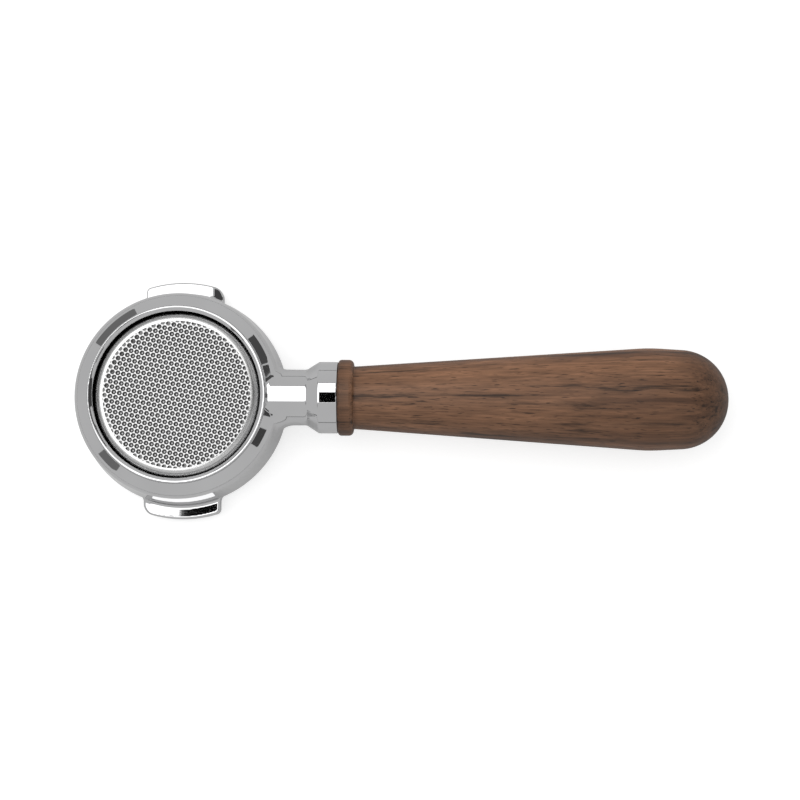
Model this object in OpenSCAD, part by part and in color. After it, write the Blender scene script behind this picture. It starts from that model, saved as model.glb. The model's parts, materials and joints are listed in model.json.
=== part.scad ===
// Bottomless portafilter for a 58 mm espresso group, lying mouth down.
// The origin is the centre of the basket's sealing rim, on the basket's axis.
// +Z runs out through the perforated bottom and +X along the handle.

/* [Filter basket] */
// Inside diameter of the basket's straight wall
basket_bore_d = 58.4; // [56:0.1:60]
// Thickness of the basket's steel sheet
sheet_t = 0.5; // [0.4:0.05:0.8]
// Height of the basket from its rim to its perforated face
basket_h = 28.2; // [25:0.1:32]
// Outside radius of the corner between the wall and the perforated face
basket_corner_r = 3.1; // [1.5:0.1:5]
// Inside radius where the wall turns out into the rim
basket_mouth_r = 1.2; // [0.6:0.1:2]
// Outside diameter of the sealing rim
rim_d = 69.8; // [66:0.1:71]
// Thickness of the sealing rim
rim_t = 0.8; // [0.6:0.1:1.2]
// Radius that eases the rim's outer edges
rim_edge_r = 0.25; // [0.1:0.05:0.28]

/* [Perforated screen] */
// Distance between neighbouring holes
hole_pitch = 2.02; // [1.8:0.01:4]
// Diameter of a hole's dimple on the outside
dimple_d = 1.6; // [0.8:0.05:1.7]
// Diameter of a hole on the inside, where it is smallest
hole_d = 0.5; // [0.3:0.05:0.7]
// Plain border between the outermost dimples and the corner
screen_border = 0.1; // [0.1:0.1:3]
// Turn of the rows of holes against the handle's axis, in degrees
screen_turn = -10.8; // [-30:0.1:30]

/* [Holder ring] */
// Radial clearance between the basket and the holder's bore
basket_gap = 0.4; // [0.3:0.05:0.8]
// How far the lip stands out past the perforated face
lip_proud = 1.8; // [0.6:0.1:4]
// Width of the lip's flat top
lip_w = 1.1; // [0.8:0.1:2]
// Height of the lip above the sloping band at its foot
lip_h = 1.4; // [0.6:0.1:2.4]
// Width of the lip's sloping outer side
lip_slope_w = 0.6; // [0.2:0.1:1.2]
// Width of the sloping band between the lip and the shoulder's edge
band_w = 4.93; // [3.5:0.01:6]
// Drop of the sloping band over that width
band_drop = 1.9; // [0.5:0.1:3]
// Radius that rounds the shoulder
shoulder_round = 4; // [1:0.1:5]
// Outward flare of the wall from the shoulder down to the ears
wall_flare = 1.7; // [0:0.01:3]
// Height above the rim at which the wall is widest
wall_wide_z = 8.5; // [7:0.1:12]
// Inward taper from the widest place to the mouth
mouth_taper = 2; // [0.5:0.1:3]
// Height of the chamfer at the mouth
mouth_chamfer = 1.4; // [0.4:0.1:2]
// Width of the chamfers at both ends of the bore
bore_chamfer = 0.3; // [0.1:0.05:0.6]
// Radius that blends the wall at its widest place
wall_blend_r = 3; // [1:0.5:8]
// Radius that eases the ring's small edges
ring_edge_r = 0.4; // [0.1:0.05:0.5]

/* [Bayonet ears] */
// Diameter over the two ears
ears_d = 87.4; // [82:0.1:92]
// Width of each ear across its straight ends
ear_w = 28.4; // [20:0.1:34]
// Thickness of an ear in its middle
ear_t = 5.2; // [3:0.1:6]
// Height of the ears' back above the plane of the rim
ear_back_z = 2.2; // [1.2:0.1:4]
// Slope of the clamping face along the ear, in degrees
ear_slope = 2.4; // [0:0.1:5]
// Length of the steeper lead-in at the ear's leading end
lead_l = 4; // [1:0.1:8]
// Slope of the lead-in, in degrees
lead_slope = 16; // [6:1:30]
// Radius that rounds the ear's leading corner
lead_corner_r = 4.5; // [1:0.1:7]
// Radius that rounds the ear's trailing corner
tail_corner_r = 2; // [0.5:0.1:5]
// Radius of the fillet between an ear's clamping face and the wall
ear_fillet_r = 1.2; // [0.4:0.1:2]
// Radius that eases the edges of an ear's clamping face
ear_edge_r = 0.5; // [0.2:0.1:1]

/* [Neck and collar] */
// Diameter of the neck
neck_d = 20.2; // [17:0.1:21]
// How far the neck's crest lies below the lip
crest_drop = 0.7; // [0:0.1:2]
// Length of the neck from the widest part of the wall
neck_l = 7.62; // [5:0.01:20]
// Length of the cone between the neck and the collar
flare_l = 4.45; // [2:0.05:10]
// Diameter of the collar that the handle seats on
collar_d = 25.9; // [24:0.1:30]
// Length of the collar
collar_l = 6.9; // [4:0.1:14]
// Radius that eases the collar's edges
collar_edge_r = 0.5; // [0.2:0.1:1.5]
// Radius of the web that fairs the neck's +Y side into the wall
upper_web_r = 2.2; // [1:0.1:6]
// Radius of the web that fairs the neck's -Y side into the wall
lower_web_r = 4; // [1:0.1:6]
// Radius of the hollow where the neck turns out into the cone
cone_foot_r = 2; // [0.5:0.1:4]
// Radius that eases the cone's edge at the collar
cone_top_r = 1; // [0.3:0.1:2]

/* [Wooden handle] */
// Length of the handle
handle_l = 140.7; // [110:0.1:170]
// Diameter of the bead at the collar
bead_d = 27.5; // [25:0.1:32]
// Length of the bead
bead_l = 5.6; // [4:0.1:9]
// Radius of the bead's edge beside the collar
bead_front_r = 1.2; // [0.5:0.1:1.6]
// Radius of the bead's edge beside the grip
bead_back_r = 1.8; // [0.5:0.1:2]
// Diameter of the grip just behind the bead
root_d = 22.6; // [20:0.01:24]
// Length of the tapered stretch of the grip
taper_l = 106.5; // [60:0.1:110]
// Diameter at which the tapered stretch and the nose's flanks meet
grip_d = 37.2; // [30:0.1:38]
// Radius of the hollow between the bead and the grip
bead_foot_r = 0.5; // [0.3:0.1:1]
// Radius that blends the two where the grip is thickest
belly_r = 60; // [10:5:200]
// Drop of the nose's flanks in radius, from the thickest place to the tip
nose_drop = 1.6; // [0:0.1:3]
// Radius of the small flat left at the tip
tip_flat_r = 0.3; // [0.2:0.1:6]

/* [Retaining spring] */
// Wire diameter of the spring
wire_d = 1.4; // [1:0.1:1.6]
// Height of the spring above the plane of the rim
spring_z = 12; // [10:0.1:16]
// Clearance between the spring and the basket
spring_gap = 0.2; // [0.1:0.05:0.4]
// Clearance between the spring and its groove
groove_gap = 0.25; // [0.15:0.05:0.5]
// Part of a full turn that the spring covers, in degrees
spring_turn = 335; // [300:1:350]

/* [Fixings] */
// Diameter of the threaded stud
stud_d = 12; // [8:0.5:12]
// Metal left between the stud's blind hole and the bore
stud_floor = 4; // [3:0.1:6]
// Free space between the stud and the end of its blind hole
stud_end_gap = 0.5; // [0.3:0.1:1]
// Length of the stud beyond the collar
stud_reach = 28.6; // [20:0.1:29]
// Clearance all round the stud, the insert and the washer
fixing_gap = 0.05; // [0.05:0.01:0.15]
// Outside diameter of the threaded insert
insert_d = 16; // [14.5:0.1:18]
// Length of the threaded insert
insert_l = 30; // [28:0.1:40]
// Thickness of the lock washer
washer_t = 2.5; // [1.5:0.1:3]
// Outside diameter of the lock washer
washer_d = 21; // [16:0.1:21.5]
// Inside diameter of the lock washer
washer_bore_d = 12.2; // [12.2:0.1:14]
// Gap in the split lock washer, in degrees
washer_split = 12; // [4:1:30]
// Clearance round the lock washer in its recess
recess_gap = 0.5; // [0.2:0.1:0.8]
// Depth that the hole in the handle runs past the insert
pilot_extra = 3; // [1:0.1:10]

/* [Hidden] */
$fn = 96;
// Largest turn between two points of a rounded corner, in degrees
arc_step = 8;
// How far a cutting tool runs past the surface that it opens
over = 1;

// Basket and bore, measured from the axis
basket_r = basket_bore_d / 2 + sheet_t;
bore_r = basket_r + basket_gap;

// Holder ring, measured from the axis and from the plane of the rim
lip_z = basket_h + lip_proud;
lip_r = bore_r + bore_chamfer + lip_w;
lip_foot_r = lip_r + lip_slope_w;
lip_foot_z = lip_z - lip_h;
shoulder_r = lip_foot_r + band_w;
shoulder_z = lip_foot_z - band_drop;
wall_r = shoulder_r + wall_flare;
mouth_z = rim_t;
mouth_side_z = mouth_z + mouth_chamfer;
// Above the chamfer the wall still tapers in by a third of the whole
mouth_side_in = mouth_taper / 3;

// Ears
ear_r = ears_d / 2;
ear_half = ear_w / 2;
ear_face_z = ear_back_z + ear_t;
ear_root_y = bore_r + shoulder_round / 2;
// The fillet's circle dips a little below both faces that it joins
fillet_rise = 0.85 * ear_fillet_r;

// Neck, collar and handle share one axis
neck_r = neck_d / 2;
axis_z = lip_z - crest_drop - neck_r;
neck_start_x = lip_r - bore_chamfer;
// The webs swell out of the neck's sides this far from its axis, as a share of its radius
web_from = 0.76 * neck_r;
// Radius of the webs' upper and lower faces, and how far its axis lies from the neck's
web_face_r = 1.5 * neck_r;
web_face_drop = sqrt(pow(web_face_r, 2) - pow(web_from, 2)) - sqrt(pow(neck_r, 2) - pow(web_from, 2));
neck_end_x = wall_r + neck_l;
flare_end_x = neck_end_x + flare_l;
seat_x = flare_end_x + collar_l;

// Fixings, measured along the handle's axis
stud_hole_x = bore_r + stud_floor;
stud_start_x = stud_hole_x + stud_end_gap;
stud_end_x = seat_x + stud_reach;
recess_l = washer_t + 2 * fixing_gap;
recess_r = washer_d / 2 + recess_gap;

// Spring
wire_r = wire_d / 2;
spring_r = basket_r + spring_gap + wire_r;
groove_r = spring_r + wire_r + groove_gap;
groove_half = wire_r + groove_gap;

function unit(v) = v / norm(v);

// The corner at b, on the way from a to c, rounded to radius r
function round_corner(a, b, c, r) =
    r == 0 ? [b] :
    let (
        back = unit(a - b),
        ahead = unit(c - b),
        half = acos(back * ahead) / 2,
        centre = b + unit(back + ahead) * r / sin(half),
        from = b + back * r / tan(half) - centre,
        to = b + ahead * r / tan(half) - centre,
        start = atan2(from.y, from.x),
        turn = atan2(cross(from, to), from * to),
        steps = max(2, ceil(abs(turn) / arc_step))
    )
    [for (i = [0 : steps]) centre + r * [cos(start + turn * i / steps), sin(start + turn * i / steps)]];

// A closed outline from corners that are given as [x, y, radius]
function rounded(corners) =
    let (n = len(corners))
    [
        for (i = [0 : n - 1])
        let (
            a = corners[(i + n - 1) % n],
            b = corners[i],
            c = corners[(i + 1) % n]
        )
        each round_corner([a.x, a.y], [b.x, b.y], [c.x, c.y], b.z)
    ];

// Points on an arc about a centre, from one angle to another
function arc(centre, r, from, to) =
    let (steps = ceil(abs(to - from) / arc_step))
    [for (i = [0 : steps]) let (a = from + (to - from) * i / steps) centre + r * [cos(a), sin(a)]];

// Turns a shape that stands on Z onto the handle's axis
module on_handle_axis() {
    translate([0, 0, axis_z])
    rotate([0, 90, 0])
    children();
}

// A round bar on the handle's axis between two distances from the origin
module bar(r, from_x, to_x) {
    on_handle_axis()
    translate([0, 0, from_x])
    cylinder(r = r, h = to_x - from_x);
}

// Outside of the ring: chamfered mouth, flaring wall, shoulder, band and lip
module ring_blank() {
    rotate_extrude()
    polygon(rounded([
        [bore_r - over, mouth_z, 0],
        [wall_r - mouth_taper, mouth_z, ring_edge_r],
        [wall_r - mouth_side_in, mouth_side_z, ring_edge_r],
        [wall_r, wall_wide_z, wall_blend_r],
        [shoulder_r, shoulder_z, shoulder_round],
        [lip_foot_r, lip_foot_z, ring_edge_r],
        [lip_r, lip_z, ring_edge_r / 2],
        [bore_r - over, lip_z, 0],
    ]));
}

// Everything that is bored out of the ring: the bore, its eased edges and the spring's groove
module bore_cut() {
    rotate_extrude()
    polygon([
        [0, mouth_z - over],
        [bore_r + bore_chamfer + over, mouth_z - over],
        [bore_r, mouth_z + bore_chamfer],
        [bore_r, spring_z - groove_half],
        [groove_r, spring_z - groove_half],
        [groove_r, spring_z + groove_half],
        [bore_r, spring_z + groove_half],
        [bore_r, lip_z - bore_chamfer],
        [bore_r + bore_chamfer + over, lip_z + over],
        [0, lip_z + over],
    ]);
}

// Centre of the circle that rounds an ear's corner on one side
function ear_corner(side, r) =
    let (x = ear_half - r)
    [side * x, sqrt(pow(ear_r - r, 2) - pow(x, 2))];

// Plan of an ear; past its tip the ear's own disc gives the outer arc
module ear_plan() {
    lead = ear_corner(1, lead_corner_r);
    tail = ear_corner(-1, tail_corner_r);
    lead_a = atan2(lead.y, lead.x);
    tail_a = atan2(tail.y, tail.x);
    tip_a = (lead_a + tail_a) / 2;
    tip_r = ear_r / cos((tail_a - lead_a) / 2);
    polygon(concat(
        [[ear_half, ear_root_y]],
        arc(lead, lead_corner_r, 0, lead_a),
        [tip_r * [cos(tip_a), sin(tip_a)]],
        arc(tail, tail_corner_r, tail_a, 180),
        [[-ear_half, ear_root_y]]
    ));
}

// Sets a shape on the ear's sloping clamping face
module on_ear_face() {
    translate([0, 0, ear_face_z])
    rotate([0, ear_slope, 0])
    children();
}

// The +Y ear, whose leading end is at +X
module ear() {
    difference() {
        intersection() {
            translate([0, 0, ear_back_z])
            linear_extrude(2 * ear_t)
            ear_plan();
            on_ear_face()
            rotate_extrude()
            polygon(rounded([
                [0, -2 * ear_t, 0],
                [ear_r, -2 * ear_t, 0],
                [ear_r, 0, ear_edge_r],
                [0, 0, 0],
            ]));
        }
        on_ear_face()
        translate([ear_half - lead_l, 0, 0])
        rotate([0, lead_slope - ear_slope, 0])
        cube([2 * lead_l, 2 * ear_r, ear_t]);
    }
    intersection() {
        translate([-ear_half, 0, ear_back_z])
        cube([ear_w - lead_l, ear_r, 2 * ear_t]);
        on_ear_face()
        rotate_extrude()
        polygon(concat(
            [
                [wall_r - over, -over],
                [wall_r + fillet_rise, -over],
            ],
            arc([wall_r + fillet_rise, fillet_rise], ear_fillet_r, 270, 180),
            [[wall_r - over, fillet_rise]]
        ));
    }
}

// Neck, cone and collar, turned in one piece
module neck_blank() {
    on_handle_axis()
    rotate_extrude()
    polygon(rounded([
        [0, neck_start_x, 0],
        [neck_r, neck_start_x, 0],
        [neck_r, neck_end_x, cone_foot_r],
        [collar_d / 2, flare_end_x, cone_top_r],
        [collar_d / 2, seat_x, collar_edge_r],
        [0, seat_x, 0],
    ]));
}

// Web on one side of the neck, which hollows out towards the wall and stays below the crest
module neck_web(side, r) {
    // The web runs out along a circle that lies a little outside the wall
    fair_r = wall_r + r / 4;
    foot_r = neck_r + r;
    foot_x = sqrt(pow(fair_r + r, 2) - pow(foot_r, 2));
    intersection() {
        on_handle_axis()
        rotate_extrude()
        difference() {
            translate([0, neck_start_x])
            square([foot_r, foot_x - neck_start_x]);
            translate([foot_r, foot_x])
            circle(r = r);
        }
        web_lens(foot_x);
        translate([neck_start_x, min(0, side * foot_r), 0])
        cube([foot_x, foot_r, lip_z]);
    }
}

// Lens-shaped bar between the webs' upper and lower faces
module web_lens(to_x) {
    intersection() {
        translate([0, 0, -web_face_drop])
        bar(web_face_r, neck_start_x, to_x);
        translate([0, 0, web_face_drop])
        bar(web_face_r, neck_start_x, to_x);
    }
}

module portafilter_body() {
    color("silver")
    difference() {
        union() {
            ring_blank();
            neck_blank();
            neck_web(1, upper_web_r);
            neck_web(-1, lower_web_r);
            for (turn = [0, 180])
                rotate([0, 0, turn])
                ear();
        }
        bore_cut();
        bar(stud_d / 2 + fixing_gap, stud_hole_x, seat_x + over);
    }
}

// Half section of the basket: wall and rim, then the corner, then the floor that becomes the screen
module basket_section() {
    corner = [basket_r - basket_corner_r, basket_h - basket_corner_r];
    polygon(rounded([
        [basket_r - sheet_t, corner.y, 0],
        [basket_r - sheet_t, 0, basket_mouth_r],
        [rim_d / 2, 0, rim_edge_r],
        [rim_d / 2, rim_t, rim_edge_r],
        [basket_r, rim_t, basket_gap / 2],
        [basket_r, corner.y, 0],
    ]));
    translate(corner)
    intersection() {
        difference() {
            circle(r = basket_corner_r);
            circle(r = basket_corner_r - sheet_t);
        }
        square(basket_corner_r);
    }
    translate([0, basket_h - sheet_t])
    square([corner.x, sheet_t]);
}

// One tapered hole in the screen: a dimple outside that narrows to a small hole inside
module screen_hole() {
    past = 0.02;
    flare = (dimple_d - hole_d) / 2 / sheet_t;
    translate([0, 0, basket_h - sheet_t - past])
    cylinder(
        h = sheet_t + 2 * past,
        r1 = hole_d / 2 - flare * past,
        r2 = dimple_d / 2 + flare * past
    );
}

// One sixth of the triangular grid of holes round the hole in its centre
module screen_sixth() {
    reach = basket_r - basket_corner_r - screen_border - dimple_d / 2;
    rings = ceil(reach / hole_pitch / sin(60));
    for (ring = [1 : rings], step = [0 : ring - 1]) {
        place = [(ring - step / 2) * hole_pitch, step * hole_pitch * sin(60)];
        if (norm(place) <= reach)
            translate(place)
            screen_hole();
    }
}

// Cuts the grid's equal sixths out of a shape, one after another
module perforate(sixths) {
    if (sixths == 0)
        children();
    else
        difference() {
            perforate(sixths - 1)
            children();
            rotate([0, 0, screen_turn + 60 * sixths])
            screen_sixth();
        }
}

module filter_basket() {
    color("gainsboro")
    perforate(6)
    difference() {
        rotate_extrude()
        basket_section();
        screen_hole();
    }
}

module retaining_spring() {
    color("lightsteelblue")
    translate([0, 0, spring_z])
    rotate([0, 0, 180 - spring_turn / 2])
    rotate_extrude(angle = spring_turn)
    translate([spring_r, 0])
    circle(r = wire_r);
}

module handle_stud() {
    color("slategray")
    bar(stud_d / 2, stud_start_x, stud_end_x);
}

// Split washer, with its gap on the underside
module lock_washer() {
    color("dimgray")
    on_handle_axis()
    translate([0, 0, seat_x + fixing_gap])
    rotate([0, 0, washer_split / 2])
    rotate_extrude(angle = 360 - washer_split)
    translate([washer_bore_d / 2, 0])
    square([(washer_d - washer_bore_d) / 2, washer_t]);
}

module threaded_insert() {
    start_x = seat_x + recess_l;
    color("goldenrod")
    difference() {
        bar(insert_d / 2, start_x, start_x + insert_l);
        bar(stud_d / 2 + fixing_gap, start_x - over, start_x + insert_l + over);
    }
}

module wooden_handle() {
    end_x = seat_x + handle_l;
    bead_end_x = seat_x + bead_l;
    belly_x = bead_end_x + taper_l;
    grip_r = grip_d / 2;
    tip_r = grip_r - nose_drop;
    flank_slope = atan(nose_drop / (end_x - belly_x));
    nose_r = (tip_r - tip_flat_r) * tan(45 + flank_slope / 2);
    bore_end_x = seat_x + recess_l + insert_l + pilot_extra;
    color("saddlebrown")
    difference() {
        on_handle_axis()
        rotate_extrude()
        polygon(rounded([
            [0, seat_x, 0],
            [bead_d / 2, seat_x, bead_front_r],
            [bead_d / 2, bead_end_x, bead_back_r],
            [root_d / 2, bead_end_x, bead_foot_r],
            [grip_r, belly_x, belly_r],
            [tip_r, end_x, nose_r],
            [0, end_x, 0],
        ]));
        bar(recess_r, seat_x - over, seat_x + recess_l);
        bar(insert_d / 2 + fixing_gap, seat_x, bore_end_x);
    }
}

portafilter_body();
filter_basket();
retaining_spring();
handle_stud();
lock_washer();
threaded_insert();
wooden_handle();
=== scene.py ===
"""The looks of a bottomless portafilter that lies mouth down on a pale floor.

The origin is the centre of the basket's rim, +Z runs out through the perforated screen
and +X along the handle. The object's own sizes are in millimetres, as they are in the
part's source, and everything that goes to Blender is in metres.
"""
import json
import math

import bpy
import numpy as np
import openvdb
from mathutils import Matrix, Vector

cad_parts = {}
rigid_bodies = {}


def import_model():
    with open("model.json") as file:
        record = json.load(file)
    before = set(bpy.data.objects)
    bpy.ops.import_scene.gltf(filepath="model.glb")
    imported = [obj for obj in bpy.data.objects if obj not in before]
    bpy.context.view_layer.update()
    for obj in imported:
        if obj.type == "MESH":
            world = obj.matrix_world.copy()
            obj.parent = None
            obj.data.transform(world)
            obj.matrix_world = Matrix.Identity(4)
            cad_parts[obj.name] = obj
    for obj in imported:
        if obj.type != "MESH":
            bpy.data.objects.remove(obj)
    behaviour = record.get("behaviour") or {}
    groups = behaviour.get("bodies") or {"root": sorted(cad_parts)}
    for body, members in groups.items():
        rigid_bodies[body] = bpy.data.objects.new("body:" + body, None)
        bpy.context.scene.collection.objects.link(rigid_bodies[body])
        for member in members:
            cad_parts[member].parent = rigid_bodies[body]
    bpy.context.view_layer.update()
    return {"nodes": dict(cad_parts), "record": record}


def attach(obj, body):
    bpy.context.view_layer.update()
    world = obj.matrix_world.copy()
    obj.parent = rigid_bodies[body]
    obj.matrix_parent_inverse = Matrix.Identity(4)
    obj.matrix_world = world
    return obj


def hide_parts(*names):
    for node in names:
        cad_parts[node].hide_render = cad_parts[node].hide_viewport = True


for leftover in list(bpy.data.objects):
    bpy.data.objects.remove(leftover)

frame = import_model()
nodes = frame["nodes"]
MM = 0.001

# ---------------------------------------------------------------- sizes, in millimetres
BORE_R = 30.1
BORE_CHAMFER = 0.3
MOUTH_Z, MOUTH_INSET, MOUTH_CHAMFER = 0.8, 2.0, 1.4
LIP_R, LIP_Z = 31.85, 30.0
LIP_BEVEL, LIP_BEVEL_DROP = 1.2, 0.7
LIP_FOOT_R, LIP_FOOT_Z = 32.1, 28.6
SHOULDER_R, SHOULDER_Z = 37.03, 26.7
WALL_R, WALL_Z, WALL_TAPER = 38.73, 8.5, 0.67
GROOVE_R, GROOVE_Z, GROOVE_HALF = 31.55, 12.0, 0.95

EAR_R, EAR_HALF, EAR_ROOT_Y = 43.69, 14.2, 32.1
EAR_BACK_Z, EAR_FACE_Z = 2.2, 7.4
EAR_SLOPE = math.radians(2.4)
LEAD_L, LEAD_SLOPE = 4.0, math.radians(16)
LEAD_CORNER_R, TAIL_CORNER_R = 4.5, 2.0

AXIS_Z = 19.2
NECK_R, NECK_START_X, NECK_END_X = 10.1, 31.2, 46.35
FLARE_END_X = 50.8
COLLAR_R, SEAT_X = 12.95, 57.7
STUD_HOLE_R, STUD_HOLE_X = 6.05, 34.1

BASKET_R, BASKET_H, SHEET = 29.7, 28.2, 0.5
BASKET_CORNER_R, RIM_R, RIM_T = 3.1, 34.9, 0.8
HOLE_PITCH, HOLE_R, DIMPLE_R = 2.02, 0.25, 1.0
HOLES_REACH, MARKS_REACH, MARK_DEPTH = 25.7, 27.4, 0.2
SCREEN_R = BASKET_R - BASKET_CORNER_R
SCREEN_TURN = math.radians(-10.8)

BEAD_R, BEAD_END_X = 13.75, 63.3
ROOT_R, BELLY_X, GRIP_R = 11.3, 169.8, 18.6
TIP_X, TIP_R, NOSE_R, BELLY_EASE_R = 198.4, 17.0, 17.6, 60
RECESS_R, RECESS_X, PILOT_R, PILOT_X, NEAR_AXIS = 11.0, 60.3, 8.05, 93.3, 0.01

# ---------------------------------------------------------------- camera
CAMERA_AT = (0.09126, -0.07421, 0.75309)
CAMERA_LENS = 91.72
TILT_X = math.radians(0.88)
TILT_Y = math.radians(5.72)
ROLL = math.radians(0.415)


def add_camera():
    ahead = Vector((-math.tan(TILT_X), math.tan(TILT_Y), -1)).normalized()
    right = ahead.cross(Vector((0, 1, 0))).normalized()
    up = right.cross(ahead)
    turned_right = math.cos(ROLL) * right + math.sin(ROLL) * up
    turned_up = math.cos(ROLL) * up - math.sin(ROLL) * right
    data = bpy.data.cameras.new("camera")
    data.lens = CAMERA_LENS
    data.clip_start = 0.01
    data.clip_end = 20
    camera = bpy.data.objects.new("camera", data)
    bpy.context.scene.collection.objects.link(camera)
    turn = Matrix((turned_right, turned_up, -ahead)).transposed()
    camera.matrix_world = Matrix.Translation(CAMERA_AT) @ turn.to_4x4()
    bpy.context.scene.camera = camera


# ---------------------------------------------------------------- outlines and distances
def unit(v):
    return v / np.linalg.norm(v)


def turned(v, angle):
    c, s = math.cos(angle), math.sin(angle)
    return np.array((c * v[0] - s * v[1], s * v[0] + c * v[1]))


def rounded(corners, step=math.radians(2.5)):
    """A closed outline from corners that are given as (x, y, radius)."""
    points = []
    for i, (x, y, radius) in enumerate(corners):
        corner = np.array((x, y))
        if radius == 0:
            points.append(corner)
            continue
        back = unit(np.array(corners[i - 1][:2]) - corner)
        ahead = unit(np.array(corners[(i + 1) % len(corners)][:2]) - corner)
        half = math.acos(back @ ahead) / 2
        centre = corner + unit(back + ahead) * radius / math.sin(half)
        start = corner + back * radius / math.tan(half) - centre
        end = corner + ahead * radius / math.tan(half) - centre
        turn = math.atan2(start[0] * end[1] - start[1] * end[0], start @ end)
        steps = max(2, math.ceil(abs(turn) / step))
        points += [centre + turned(start, turn * k / steps) for k in range(steps + 1)]
    return np.array(points)


def arc(centre, radius, start, end, step=math.radians(2.5)):
    angles = np.linspace(start, end, max(2, math.ceil(abs(end - start) / step)) + 1)
    return np.c_[centre[0] + radius * np.cos(angles), centre[1] + radius * np.sin(angles)]


def outline_distance(outline, u, v):
    """Signed distance from points to a closed outline, negative inside it."""
    nearest = np.full(u.shape, 1e9)
    inside = np.zeros(u.shape, bool)
    for (ax, ay), (bx, by) in zip(outline, np.roll(outline, -1, axis=0)):
        ex, ey = bx - ax, by - ay
        length = ex * ex + ey * ey
        if length < 1e-12:
            continue
        along = np.clip(((u - ax) * ex + (v - ay) * ey) / length, 0, 1)
        off_u, off_v = u - ax - along * ex, v - ay - along * ey
        nearest = np.minimum(nearest, off_u ** 2 + off_v ** 2)
        if ay != by:
            inside ^= ((ay > v) != (by > v)) & (u < ax + (v - ay) * ex / ey)
    return np.where(inside, -1, 1) * np.sqrt(nearest)


class Section:
    """The signed distance to an outline, looked up in a table."""

    STEP = 0.05

    def __init__(self, outline, low, high):
        self.low, self.high = low, high
        u = np.arange(low[0], high[0] + self.STEP, self.STEP)
        v = np.arange(low[1], high[1] + self.STEP, self.STEP)
        places = np.meshgrid(u, v, indexing="ij")
        self.table = outline_distance(outline, *places).astype(np.float32)

    def distance(self, u, v):
        """The distance at (u, v). Past the table's ends, the way back to it is added."""
        near_u = np.clip(u, self.low[0], self.high[0])
        near_v = np.clip(v, self.low[1], self.high[1])
        row, column = (near_u - self.low[0]) / self.STEP, (near_v - self.low[1]) / self.STEP
        width = self.table.shape[1]
        i = np.clip(row.astype(np.int32), 0, self.table.shape[0] - 2)
        j = np.clip(column.astype(np.int32), 0, width - 2)
        a, b = row - i.astype(row.dtype), column - j.astype(row.dtype)
        t, k = self.table.ravel(), i * width + j
        near, far = t[k], t[k + width]
        first = near + (far - near) * a
        near, far = t[k + 1], t[k + width + 1]
        inside = first + (near + (far - near) * a - first) * b
        return inside + np.hypot(u - near_u, v - near_v)


def blended_max(a, b, blend):
    """The larger of two distances, with the edge between them rounded off."""
    near = np.maximum(blend - np.abs(a - b), 0)
    return np.maximum(a, b) + near * near / (4 * blend)


def blended_min(a, b, blend):
    return -blended_max(-a, -b, blend)


# ---------------------------------------------------------------- chrome body
# Outlines run on to FAR and PAST, and INNER_R is where the skin stops looking inward.
FAR = -20.0
PAST = 2
INNER_R = 27.0
BORE_EASE = 0.3
LEAD_EASE, EAR_EDGE_EASE, EAR_BACK_EASE, EAR_ROOT_EASE = 0.4, 0.8, 0.3, 1.6
CREST_FILLET, WEB_FILLET, LOWER_WEB_EXTRA = 0.8, 2.2, 2.6
CREST_Z, CREST_DROP, SIDE_BLEND = 28.0, 4.5, 3
VOXEL = 0.3
BODY_BOX = (-40, -45, -0.5), (59, 45, 33.5)
BASKET_SEGMENTS, HANDLE_SEGMENTS = 320, 256
RING = Section(rounded([
    (FAR, MOUTH_Z, 0),
    (WALL_R - MOUTH_INSET, MOUTH_Z, 0.4),
    (WALL_R - WALL_TAPER, MOUTH_Z + MOUTH_CHAMFER, 0.4),
    (WALL_R, WALL_Z, 3),
    (SHOULDER_R, SHOULDER_Z, 4),
    (LIP_FOOT_R, LIP_FOOT_Z, 0.2),
    (LIP_R, LIP_Z, 0.3),
    (FAR, LIP_Z, 0),
]), (INNER_R, -1), (42, 34))
BORE = Section(rounded([
    (FAR, MOUTH_Z - PAST, 0),
    (BORE_R + BORE_CHAMFER + PAST, MOUTH_Z - PAST, 0),
    (BORE_R, MOUTH_Z + BORE_CHAMFER, 0),
    (BORE_R, GROOVE_Z - GROOVE_HALF, 0),
    (GROOVE_R, GROOVE_Z - GROOVE_HALF, 0),
    (GROOVE_R, GROOVE_Z + GROOVE_HALF, 0),
    (BORE_R, GROOVE_Z + GROOVE_HALF, 0),
    (BORE_R, LIP_Z - LIP_BEVEL_DROP, 0.4),
    (BORE_R + 2 * LIP_BEVEL, LIP_Z + LIP_BEVEL_DROP, 0),
    (BORE_R + 2 * LIP_BEVEL, LIP_Z + PAST, 0),
    (FAR, LIP_Z + PAST, 0),
]), (INNER_R, -1), (36, 34))
NECK = Section(rounded([
    (FAR, NECK_START_X, 0),
    (NECK_R, NECK_START_X, 0),
    (NECK_R, NECK_END_X, 2),
    (COLLAR_R, FLARE_END_X, 1),
    (COLLAR_R, SEAT_X, 0.5),
    (STUD_HOLE_R, SEAT_X, 0.2),
    (STUD_HOLE_R, STUD_HOLE_X, 0),
    (FAR, STUD_HOLE_X, 0),
]), (0, 28), (16, 60))


def ear_outline():
    lead = np.array((EAR_HALF - LEAD_CORNER_R, 0.0))
    lead[1] = math.sqrt((EAR_R - LEAD_CORNER_R) ** 2 - lead[0] ** 2)
    tail = np.array((TAIL_CORNER_R - EAR_HALF, 0.0))
    tail[1] = math.sqrt((EAR_R - TAIL_CORNER_R) ** 2 - tail[0] ** 2)
    lead_angle = math.atan2(lead[1], lead[0])
    tail_angle = math.atan2(tail[1], tail[0])
    return np.vstack((
        [(EAR_HALF, EAR_ROOT_Y)],
        arc(lead, LEAD_CORNER_R, 0, lead_angle),
        arc((0, 0), EAR_R, lead_angle, tail_angle)[1:-1],
        arc(tail, TAIL_CORNER_R, tail_angle, math.pi),
        [(-EAR_HALF, EAR_ROOT_Y)],
    ))


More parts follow.
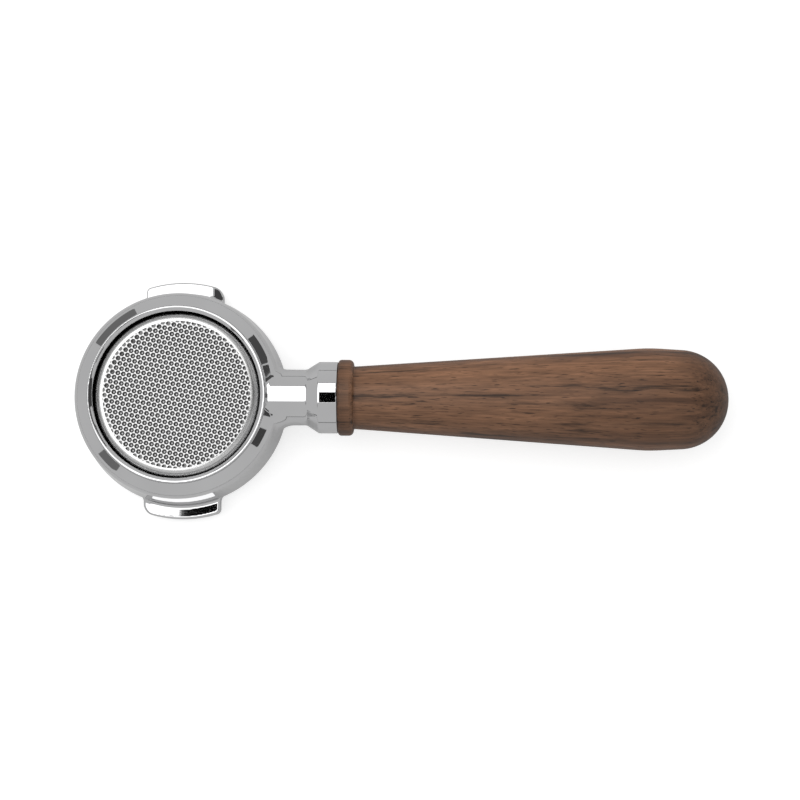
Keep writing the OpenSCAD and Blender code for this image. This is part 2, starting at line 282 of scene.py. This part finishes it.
EAR = Section(ear_outline(), (-17, 28), (17, 46))


def ear_distance(x, y, z):
    """The +Y ear: a plan, a sloping clamping face, a steeper lead-in and a flat back."""
    lead_x = (EAR_HALF - LEAD_L) * math.cos(EAR_SLOPE)
    lead_z = EAR_FACE_Z - (EAR_HALF - LEAD_L) * math.sin(EAR_SLOPE)
    face = x * math.sin(EAR_SLOPE) + (z - EAR_FACE_Z) * math.cos(EAR_SLOPE)
    lead = (x - lead_x) * math.sin(LEAD_SLOPE) + (z - lead_z) * math.cos(LEAD_SLOPE)
    top = blended_max(face, lead, LEAD_EASE)
    faced = blended_max(EAR.distance(x, y), top, EAR_EDGE_EASE)
    return blended_max(faced, EAR_BACK_Z - z, EAR_BACK_EASE)


def body_distance(x, y, z):
    """The whole casting. Its fillet at the neck is small at the crest and widest below."""
    r = np.maximum(np.hypot(x, y), INNER_R)
    from_axis = np.hypot(y, z - AXIS_Z)
    below_crest = np.clip((CREST_Z - z) / CREST_DROP, 0, 1)
    lower_side = 0.5 - 0.5 * np.tanh(y / SIDE_BLEND)
    fillet = CREST_FILLET + below_crest * (WEB_FILLET + LOWER_WEB_EXTRA * lower_side)
    shape = blended_min(RING.distance(r, z), NECK.distance(from_axis, x), fillet)
    for side in (1, -1):
        ear = ear_distance(side * x, side * y, z)
        shape = blended_min(shape, ear, EAR_ROOT_EASE)
    return blended_max(shape, -BORE.distance(r, z), BORE_EASE)


def slope(distance, points, reach=0.05):
    """The outward direction of a distance at each point."""
    total = np.zeros(points.shape)
    for corner in ((1, -1, -1), (-1, -1, 1), (-1, 1, -1), (1, 1, 1)):
        corner = np.array(corner)
        shifted = points + reach * corner
        total += corner * distance(shifted[:, 0], shifted[:, 1], shifted[:, 2])[:, None]
    return total / np.linalg.norm(total, axis=1)[:, None]


def skin(distance, low, high, voxel):
    """Points, faces and normals of the surface at which a distance is zero."""
    axes = [np.arange(a, b + voxel, voxel, dtype=np.float32) for a, b in zip(low, high)]
    values = distance(*np.meshgrid(*axes, indexing="ij"))
    grid = openvdb.FloatGrid(background=3.0)
    grid.copyFromArray(np.ascontiguousarray(values, dtype=np.float64))
    points, faces = grid.convertToQuads(isovalue=0)
    points = points.astype(np.float64) * voxel + np.array(low)
    for _ in range(3):
        off = distance(points[:, 0], points[:, 1], points[:, 2])
        points -= slope(distance, points) * off[:, None]
    normals = slope(distance, points)
    corners = points[faces]
    facing = np.cross(corners[:, 2] - corners[:, 0], corners[:, 3] - corners[:, 1])
    flipped = (facing * normals[faces[:, 0]]).sum(axis=1) < 0
    faces[flipped] = faces[flipped][:, ::-1]
    return points, faces, normals


# ---------------------------------------------------------------- pieces
def add_piece(name, points, faces, normals, material, node):
    """A smooth piece, given in millimetres, that stands for a CAD node."""
    mesh = bpy.data.meshes.new(name)
    mesh.from_pydata((points * MM).tolist(), [], [list(face) for face in faces])
    mesh.polygons.foreach_set("use_smooth", [True] * len(mesh.polygons))
    mesh.normals_split_custom_set_from_vertices(normals.tolist())
    mesh.materials.append(material)
    piece = bpy.data.objects.new(name, mesh)
    bpy.context.scene.collection.objects.link(piece)
    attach(piece, node_body(node))
    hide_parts(node)
    return piece


def node_body(node):
    for body, names in BODIES.items():
        if node in names:
            return body
    raise KeyError(node)


def turned_about_z(place, angles):
    """A (radius, height) pair at each of the angles round Z."""
    radius, height = place
    level = np.full(len(angles), height)
    return np.c_[radius * np.cos(angles), radius * np.sin(angles), level]


def revolved(outline, segments, sharp=math.radians(25)):
    """A closed outline of (radius, height) turned about Z, split where it bends sharply."""
    count = len(outline)
    ahead = np.roll(outline, -1, axis=0) - outline
    ahead /= np.linalg.norm(ahead, axis=1)[:, None]
    angles = np.linspace(0, 2 * math.pi, segments, endpoint=False)
    points, normals, faces = [], [], []
    for i in range(count):
        ends = []
        for end in (i, (i + 1) % count):
            other = ahead[end - 1] if end == i else ahead[end]
            bend = math.acos(np.clip(ahead[i] @ other, -1, 1))
            along = unit(ahead[i] + other) if bend < sharp else ahead[i]
            ends.append((outline[end], (along[1], -along[0])))
        for end, normal in ends:
            points.append(turned_about_z(end, angles))
            normals.append(turned_about_z(normal, angles))
        near = 2 * i * segments
        far = near + segments
        k = np.arange(segments)
        following = (k + 1) % segments
        faces.append(np.c_[near + k, near + following, far + following, far + k])
    return np.vstack(points), np.vstack(faces), np.vstack(normals)


def upright_to_handle(points):
    """Turns a shape that stands on Z onto the handle's axis."""
    return np.c_[points[:, 2], points[:, 1], AXIS_Z - points[:, 0]]


def handle_outline():
    """The handle from its seat on the collar, round the outside and back up its bore."""
    return rounded([
        (RECESS_R, SEAT_X, 0),
        (BEAD_R, SEAT_X, 1.2),
        (BEAD_R, BEAD_END_X, 1.8),
        (ROOT_R, BEAD_END_X, 0.5),
        (GRIP_R, BELLY_X, BELLY_EASE_R),
        (TIP_R, TIP_X, NOSE_R),
        (NEAR_AXIS, TIP_X, 0),
        (NEAR_AXIS, PILOT_X, 0),
        (PILOT_R, PILOT_X, 0),
        (PILOT_R, RECESS_X, 0),
        (RECESS_R, RECESS_X, 0),
    ])


def basket_outline():
    """Half section of the basket's sheet, from the screen's edge to the rim."""
    inside = BASKET_R - SHEET
    return rounded([
        (SCREEN_R, BASKET_H - SHEET, 0),
        (inside, BASKET_H - SHEET, BASKET_CORNER_R - SHEET),
        (inside, 0, 1.2),
        (RIM_R, 0, 0.25),
        (RIM_R, RIM_T, 0.25),
        (BASKET_R, RIM_T, 0.2),
        (BASKET_R, BASKET_H, BASKET_CORNER_R),
        (SCREEN_R, BASKET_H, 0),
    ], math.radians(4))


# ---------------------------------------------------------------- perforated screen
# A cell has hexagonal rings of grid points, of which the first ones are pulled round.
RINGS = 6
HOLE_RING = 2
LAST_ROUND_RING = 4
RING_RADII = (HOLE_R, 0.48, 0.72, 0.95, HOLE_PITCH / 2)
HOLE_LAND = 0.06
GRID_STEP = HOLE_PITCH / (2 * RINGS)
SIN_60 = math.sin(math.radians(60))


def lattice(reach):
    """Steps along the two directions of a triangular grid that lie within a radius."""
    count = math.ceil(reach / GRID_STEP / SIN_60) + 2
    steps = np.arange(-count, count + 1)
    i, j = np.meshgrid(steps, steps, indexing="ij")
    return i, j, np.hypot(*flat(i, j)) <= reach


def flat(i, j):
    """Place of a grid point, before the screen is turned."""
    return GRID_STEP * (i + j / 2), GRID_STEP * j * SIN_60


def hex_rings(i, j):
    """How many grid steps a point lies from the middle of its cell."""
    return np.maximum(np.maximum(np.abs(i), np.abs(j)), np.abs(i + j))


def nearest_hole(i, j):
    """The hole whose cell a grid point lies in, in whole cells."""
    a, b = i / (2 * RINGS), j / (2 * RINGS)
    c = -a - b
    whole = [np.rint(v) for v in (a, b, c)]
    off = [np.abs(w - v) for w, v in zip(whole, (a, b, c))]
    fix_a = (off[0] > off[1]) & (off[0] > off[2])
    fix_b = ~fix_a & (off[1] > off[2])
    first = np.where(fix_a, -whole[1] - whole[2], whole[0])
    second = np.where(fix_b, -whole[0] - whole[2], whole[1])
    return first.astype(int) * 2 * RINGS, second.astype(int) * 2 * RINGS


def screen_mesh():
    """The screen's dimpled outside, its flat inside and the walls of its holes."""
    i, j, used = lattice(SCREEN_R + GRID_STEP)
    hole_i, hole_j = nearest_hole(i, j)
    hole_x, hole_y = flat(hole_i, hole_j)
    hole_from_middle = np.hypot(hole_x, hole_y)
    open_hole = hole_from_middle <= HOLES_REACH
    pressed = hole_from_middle <= MARKS_REACH
    ring = hex_rings(i - hole_i, j - hole_j)
    x, y = flat(i, j)
    away_x, away_y = x - hole_x, y - hole_y
    away = np.maximum(np.hypot(away_x, away_y), 1e-9)
    round_r = np.interp(ring, range(HOLE_RING, RINGS + 1), RING_RADII)
    share = np.where(open_hole, np.interp(ring, (LAST_ROUND_RING, RINGS), (1, 0)), 0)
    local = away * (1 - share) + round_r * share
    away_x, away_y = away_x / away, away_y / away
    x, y = hole_x + away_x * local, hole_y + away_y * local
    bowl = pressed & (ring < RINGS)
    depth = np.where(open_hole, SHEET - HOLE_LAND, MARK_DEPTH)
    drop = np.where(bowl, depth * np.clip(1 - (local / DIMPLE_R) ** 2, 0, 1), 0)
    steep = np.where(bowl, 2 * depth * local / DIMPLE_R ** 2, 0)
    normal = np.stack((-steep * away_x, -steep * away_y, np.ones(x.shape)), axis=-1)
    normal /= np.linalg.norm(normal, axis=-1)[..., None]
    kept = used & ~(open_hole & (ring < HOLE_RING))
    r = np.hypot(x, y)
    pull = np.where(r > SCREEN_R, SCREEN_R / np.maximum(r, 1e-9), 1)
    x, y = x * pull, y * pull
    c, s = math.cos(SCREEN_TURN), math.sin(SCREEN_TURN)
    number = np.cumsum(kept.ravel()).reshape(kept.shape) - 1
    number[~kept] = -1
    a, b = number[:-1, :-1], number[1:, :-1]
    d, e = number[:-1, 1:], number[1:, 1:]
    halves = [np.stack(three, -1).reshape(-1, 3) for three in ((a, b, d), (b, e, d))]
    faces = np.vstack(halves)
    faces = faces[(faces >= 0).all(axis=1)]
    top = np.c_[(c * x - s * y)[kept], (s * x + c * y)[kept], (BASKET_H - drop)[kept]]
    corners = top[faces]
    sides = corners[:, 1] - corners[:, 0], corners[:, 2] - corners[:, 0]
    faces = faces[np.linalg.norm(np.cross(*sides), axis=1) > 1e-4]
    normals = np.c_[
        (c * normal[..., 0] - s * normal[..., 1])[kept],
        (s * normal[..., 0] + c * normal[..., 1])[kept],
        normal[..., 2][kept]]
    inner = top.copy()
    inner[:, 2] = BASKET_H - SHEET
    down = np.tile((0.0, 0.0, -1.0), (len(inner), 1))
    at_hole = ((ring == HOLE_RING) & open_hole)[kept]
    walls, wall_points, wall_normals = hole_walls(faces, top, at_hole)
    count = len(top)
    return (
        np.vstack((top, inner, wall_points)),
        [tuple(f) for f in faces] + [tuple(f[::-1] + count) for f in faces]
        + [tuple(np.array(f) + 2 * count) for f in walls],
        np.vstack((normals, down, wall_normals)),
    )


def hole_walls(faces, top, at_hole):
    """Short walls that join the outside and the inside round each hole."""
    edges = np.vstack((faces[:, (0, 1)], faces[:, (1, 2)], faces[:, (2, 0)]))
    known = {tuple(edge) for edge in edges.tolist()}
    rim = [(p, q) for p, q in known if (q, p) not in known and at_hole[p] and at_hole[q]]
    points, normals, walls = [], [], []
    for p, q in rim:
        start, end = top[p], top[q]
        along = end - start
        facing = unit(np.array((along[1], -along[0], 0)))
        base = len(points)
        for place in (start, end):
            points += [place, np.array((place[0], place[1], BASKET_H - SHEET))]
        normals += [facing] * 4
        walls.append((base, base + 1, base + 3, base + 2))
    return walls, np.array(points), np.array(normals)


# ---------------------------------------------------------------- node helpers
class Graph:
    """A material or world whose nodes are added one by one."""

    def __init__(self, holder):
        holder.use_nodes = True
        self.tree = holder.node_tree
        self.tree.nodes.clear()

    def add(self, kind, values=None, **settings):
        made = self.tree.nodes.new(kind)
        for key, value in settings.items():
            setattr(made, key, value)
        for key, value in (values or {}).items():
            if isinstance(value, bpy.types.NodeSocket):
                self.tree.links.new(value, made.inputs[key])
            else:
                made.inputs[key].default_value = value
        return made

    def math(self, operation, a, b=0.0):
        return self.add("ShaderNodeMath", {0: a, 1: b}, operation=operation).outputs[0]

    def noise(self, vector, scale, detail=2.0, roughness=0.5, distortion=0.0):
        return self.add("ShaderNodeTexNoise", {
            "Vector": vector, "Scale": scale, "Detail": detail,
            "Roughness": roughness, "Distortion": distortion,
        }).outputs[0]

    def ramp(self, factor, *stops):
        made = self.add("ShaderNodeValToRGB", {"Fac": factor})
        elements = made.color_ramp.elements
        while len(elements) < len(stops):
            elements.new(1.0)
        for element, (at, colour) in zip(elements, stops):
            element.position = at
            element.color = colour if len(colour) == 4 else (*colour, 1)
        return made.outputs[0]

    def mapped(self, scale=(1, 1, 1), turn=(0, 0, 0), move=(0, 0, 0)):
        place = self.add("ShaderNodeTexCoord").outputs["Object"]
        return self.add("ShaderNodeMapping", {
            "Vector": place, "Scale": scale, "Rotation": turn, "Location": move,
        }).outputs[0]

    def multiplied(self, colour, *layers):
        for layer in layers:
            mix = self.add(
                "ShaderNodeMix", {0: 1.0, 6: colour, 7: layer},
                data_type="RGBA", blend_type="MULTIPLY")
            colour = mix.outputs[2]
        return colour

    def bump(self, distance, height):
        return self.add("ShaderNodeBump", {
            "Strength": 1.0, "Distance": distance, "Height": height,
        }).outputs[0]

    def spread(self, factor, low, high, from_low=0.0, from_high=1.0):
        """Maps a factor onto a range."""
        return self.add("ShaderNodeMapRange", {
            "Value": factor, "From Min": from_low, "From Max": from_high,
            "To Min": low, "To Max": high,
        }).outputs[0]


def grey(value):
    return (value, value, value, 1)


def metal(name, dark, light, rough_low, rough_high, patch_scale, bump_scale, bump_height):
    """A metal whose colour and polish vary softly from place to place."""
    made = bpy.data.materials.new(name)
    graph = Graph(made)
    place = graph.mapped()
    patches = graph.noise(place, patch_scale, 3.0)
    fine = graph.noise(place, bump_scale, 2.0)
    colour = graph.ramp(patches, (0.3, dark), (0.7, light))
    bump = graph.bump(bump_height, fine)
    shader = graph.add("ShaderNodeBsdfPrincipled", {
        "Base Color": colour, "Metallic": 1.0, "Normal": bump,
        "Roughness": graph.spread(patches, rough_low, rough_high),
    })
    graph.add("ShaderNodeOutputMaterial", {"Surface": shader.outputs[0]})
    return made


def screen_steel_painted_shade(name):
    """Pressed steel that is bright on its ridges and dull down in its dimples, where its
    colour is darkened with depth as painted shade.
    """
    made = bpy.data.materials.new(name)
    graph = Graph(made)
    place = graph.mapped()
    height = graph.add("ShaderNodeSeparateXYZ", {"Vector": place}).outputs["Z"]
    level = graph.spread(height, 0, 1, (BASKET_H - SHEET) * MM, BASKET_H * MM)
    marks = graph.ramp(graph.noise(place, 900, 2.0), (0.3, grey(0.9)), (0.7, grey(1.05)))
    # Painted shade: the colour falls from 0.46 on the ridges to about 0.1 down in the
    # dimples.
    colour = graph.ramp(
        level, (0.1, grey(0.2)), (0.3, grey(0.09)),
        (0.8, grey(0.11)), (0.97, grey(0.46)))
    shader = graph.add("ShaderNodeBsdfPrincipled", {
        "Base Color": graph.multiplied(colour, marks), "Metallic": 1.0,
        "Roughness": graph.spread(level, 0.16, 0.1),
    })
    graph.add("ShaderNodeOutputMaterial", {"Surface": shader.outputs[0]})
    return made


LEAN = math.radians(-1.5)


def walnut(name):
    """Oiled walnut: brown bands, long dark streaks and short open pores, with painted shade
    that darkens the bead and the nose and painted light that makes the +Y side paler.
    """
    made = bpy.data.materials.new(name)
    graph = Graph(made)
    wide_grain = graph.mapped(scale=(0.05, 1, 1), turn=(0, 0, LEAN))
    long_grain = graph.mapped(scale=(0.017, 1, 1), turn=(0, 0, LEAN))
    bands = graph.noise(wide_grain, 110, 3.0, 0.55, 0.3)
    streaks = graph.noise(long_grain, 430, 4.0, 0.62, 0.2)
    fibres = graph.noise(graph.mapped(scale=(0.02, 1, 1)), 1500, 3.0, 0.6)
    pores = graph.noise(graph.mapped(scale=(0.07, 1, 1)), 2300, 1.0, 0.5)
    split = graph.add("ShaderNodeSeparateXYZ", {"Vector": graph.mapped()}).outputs
    along = graph.spread(split["X"], 0, 1, SEAT_X * MM, TIP_X * MM)
    painted_light_across = graph.spread(split["Y"], 0, 1, -GRIP_R * MM, GRIP_R * MM)
    colour = graph.ramp(
        bands, (0.3, (0.082, 0.037, 0.019)), (0.45, (0.152, 0.073, 0.038)),
        (0.58, (0.198, 0.098, 0.053)), (0.75, (0.160, 0.076, 0.040)))
    colour = graph.multiplied(
        colour,
        graph.ramp(streaks, (0.33, grey(0.28)), (0.43, grey(0.88)), (0.68, grey(1.22))),
        graph.ramp(fibres, (0.3, grey(0.66)), (0.68, grey(1.18))),
        graph.ramp(pores, (0.3, grey(0.3)), (0.37, grey(1.0))),
        # Painted shade: darker at the bead by the seat and at the nose.
        graph.ramp(
            along, (0.0, grey(0.5)), (0.05, grey(0.96)),
            (0.84, grey(0.96)), (1.0, grey(0.44))),
        # Painted light and shade: paler towards +Y and darker towards -Y, as the light
        # falls.
        graph.ramp(painted_light_across, (0.1, grey(0.8)), (0.5, grey(1.0)), (0.9, grey(1.3))))
    height = graph.math("MULTIPLY", pores, fibres)
    bump = graph.bump(0.05 * MM, height)
    shader = graph.add("ShaderNodeBsdfPrincipled", {
        "Base Color": colour, "Normal": bump, "Specular IOR Level": 0.28,
        "Roughness": graph.spread(fibres, 0.42, 0.58),
    })
    graph.add("ShaderNodeOutputMaterial", {"Surface": shader.outputs[0]})
    return made


# ---------------------------------------------------------------- stage
FLOOR_SIZE = 3.0
FLOOR_DROP = 0.0001
SKY = 0.72
FLOOR_LIFT = 0.6
MIRRORED_LIFT = 0.1
FLOOR_GREY = 0.55
SOFTBOX_RADIANCE = 1.58
SOFTBOX_X, SOFTBOX_Y = 0.95, 1.07
SOFTBOX_AT = (-0.28, 0.21, 0.85)

# Panels that only polished surfaces see: name, strength, width, length, centre, facing
CARDS = (
    ("overhead_card", 0.0, 0.135, 0.36, (0.0795, -0.055, 0.64), (0, 0, -1)),
    ("arm_card", 0.0, 0.03, 0.07, (-0.118, -0.03, 0.64), (0, 0, -1)),
    ("softbox_edge", 0.02, 0.95, 0.03, (-0.28, 0.765, 0.85), (0, 0, -1)),
    ("right_card", 0.07, 0.2, 0.5, (0.546, 0.066, 0.44), (-0.78, -0.09, -0.62)),
    ("high_right_card", 0.08, 0.34, 0.28, (0.37, 0.11, 0.70), (-0.42, 0, -0.9)),
    ("upper_right_card", 0.1, 0.17, 0.18, (0.377, 0.328, 0.53), (-0.53, -0.46, -0.71)),
    ("lower_right_card", 0.08, 0.13, 0.16, (0.457, -0.203, 0.69), (-0.56, 0.25, -0.8)),
    ("upper_left_card", 0.22, 0.29, 0.16, (-0.452, 0.468, 0.48), (0.56, -0.58, -0.57)),
    ("lower_left_card", 0.22, 0.14, 0.16, (-0.50, -0.33, 0.50), (0.66, 0.43, -0.6)),
    ("near_line", 0.03, 1.6, 0.012, (0, -0.42, 0.004), (0, 1, 0)),
    ("far_line", 0.03, 1.6, 0.012, (0, 0.42, 0.004), (0, -1, 0)),
    ("left_line", 0.03, 0.9, 0.012, (-0.45, 0, 0.004), (1, 0, 0)),
)


def plane(name, size_x, size_y, centre, facing):
    """A rectangle that is part of the studio, facing along a direction."""
    mesh = bpy.data.meshes.new(name)
    x, y = size_x / 2, size_y / 2
    mesh.from_pydata([(-x, -y, 0), (x, -y, 0), (x, y, 0), (-x, y, 0)], [], [(0, 1, 2, 3)])
    made = bpy.data.objects.new(name, mesh)
    bpy.context.scene.collection.objects.link(made)
    turn = Vector(facing).to_track_quat("Z", "Y").to_matrix().to_4x4()
    made.matrix_world = Matrix.Translation(centre) @ turn
    return made


def glow(name, strength):
    made = bpy.data.materials.new(name)
    graph = Graph(made)
    light = graph.add("ShaderNodeEmission", {"Color": grey(1.0), "Strength": strength})
    graph.add("ShaderNodeOutputMaterial", {"Surface": light.outputs[0]})
    return made


def card(name, strength, size_x, size_y, centre, facing):
    """A panel that only polished surfaces see."""
    made = plane(name, size_x, size_y, centre, facing)
    made.data.materials.append(glow(name, strength))
    made.visible_camera = False
    made.visible_diffuse = False
    made.visible_shadow = False
    made.visible_transmission = False


def floor_material():
    made = bpy.data.materials.new("floor")
    graph = Graph(made)
    path = graph.add("ShaderNodeLightPath").outputs
    seen = graph.math("MAXIMUM", path["Is Camera Ray"], path["Is Transmission Ray"])
    mirrored = graph.math("MULTIPLY", path["Is Glossy Ray"], MIRRORED_LIFT)
    strength = graph.math("ADD", graph.math("MULTIPLY", seen, FLOOR_LIFT), mirrored)
    lift = graph.add("ShaderNodeEmission", {"Color": grey(1.0), "Strength": strength})
    matt = graph.add("ShaderNodeBsdfDiffuse", {"Color": grey(FLOOR_GREY)})
    both = graph.add("ShaderNodeAddShader", {0: lift.outputs[0], 1: matt.outputs[0]})
    graph.add("ShaderNodeOutputMaterial", {"Surface": both.outputs[0]})
    return made


def add_stage():
    world = bpy.data.worlds.new("studio")
    bpy.context.scene.world = world
    graph = Graph(world)
    path = graph.add("ShaderNodeLightPath").outputs
    seen = graph.math("MAXIMUM", path["Is Camera Ray"], path["Is Transmission Ray"])
    strength = graph.spread(seen, SKY, 1.0)
    sky = graph.add("ShaderNodeBackground", {"Color": grey(1.0), "Strength": strength})
    graph.add("ShaderNodeOutputWorld", {"Surface": sky.outputs[0]})
    floor = plane("floor", FLOOR_SIZE, FLOOR_SIZE, (0.08, 0, -FLOOR_DROP), (0, 0, 1))
    floor.data.materials.append(floor_material())
    softbox = bpy.data.lights.new("softbox", "AREA")
    softbox.shape = "RECTANGLE"
    softbox.size = SOFTBOX_X
    softbox.size_y = SOFTBOX_Y
    softbox.energy = SOFTBOX_RADIANCE * math.pi * SOFTBOX_X * SOFTBOX_Y
    lamp = bpy.data.objects.new("softbox", softbox)
    bpy.context.scene.collection.objects.link(lamp)
    lamp.location = SOFTBOX_AT
    for name, strength, size_x, size_y, centre, facing in CARDS:
        card(name, strength, size_x, size_y, centre, facing)


# ---------------------------------------------------------------- assembly
BODIES = frame["record"]["behaviour"]["bodies"]
CHROME = metal(
    "chrome", (0.545, 0.545, 0.55), (0.585, 0.585, 0.59),
    0.02, 0.04, 40, 60, 0.001 * MM)
STEEL = metal(
    "basket_steel", (0.6, 0.6, 0.6), (0.66, 0.66, 0.655),
    0.24, 0.3, 90, 900, 0.002 * MM)
SCREEN = screen_steel_painted_shade("screen_steel_painted_shade")
WALNUT = walnut("walnut")
FINISHES = {
    "retaining_spring": metal(
        "spring_steel", (0.5, 0.5, 0.51), (0.6, 0.6, 0.6),
        0.2, 0.3, 200, 700, 0.005 * MM),
    "handle_stud": metal(
        "plated_steel", (0.42, 0.43, 0.45), (0.55, 0.55, 0.56),
        0.3, 0.42, 120, 600, 0.008 * MM),
    "lock_washer": metal(
        "washer_steel", (0.33, 0.33, 0.34), (0.42, 0.42, 0.43),
        0.35, 0.5, 200, 900, 0.01 * MM),
    "threaded_insert": metal(
        "brass", (0.66, 0.5, 0.24), (0.76, 0.6, 0.32),
        0.25, 0.4, 100, 700, 0.008 * MM),
}


def dress_nodes():
    for name, finish in FINISHES.items():
        nodes[name].data.materials.clear()
        nodes[name].data.materials.append(finish)


def add_pieces():
    body = skin(body_distance, *BODY_BOX, VOXEL)
    add_piece("chrome_body", *body, CHROME, "portafilter_body")
    shell = revolved(basket_outline(), BASKET_SEGMENTS)
    add_piece("basket_shell", *shell, STEEL, "filter_basket")
    add_piece("basket_screen", *screen_mesh(), SCREEN, "filter_basket")
    points, faces, normals = revolved(handle_outline(), HANDLE_SEGMENTS)
    places = upright_to_handle(points)
    facing = upright_to_handle(normals) - np.array((0, 0, AXIS_Z))
    add_piece("walnut_handle", places, faces, facing, WALNUT, "wooden_handle")


bpy.context.scene.view_settings.view_transform = "Standard"
add_camera()
add_stage()
dress_nodes()
add_pieces()
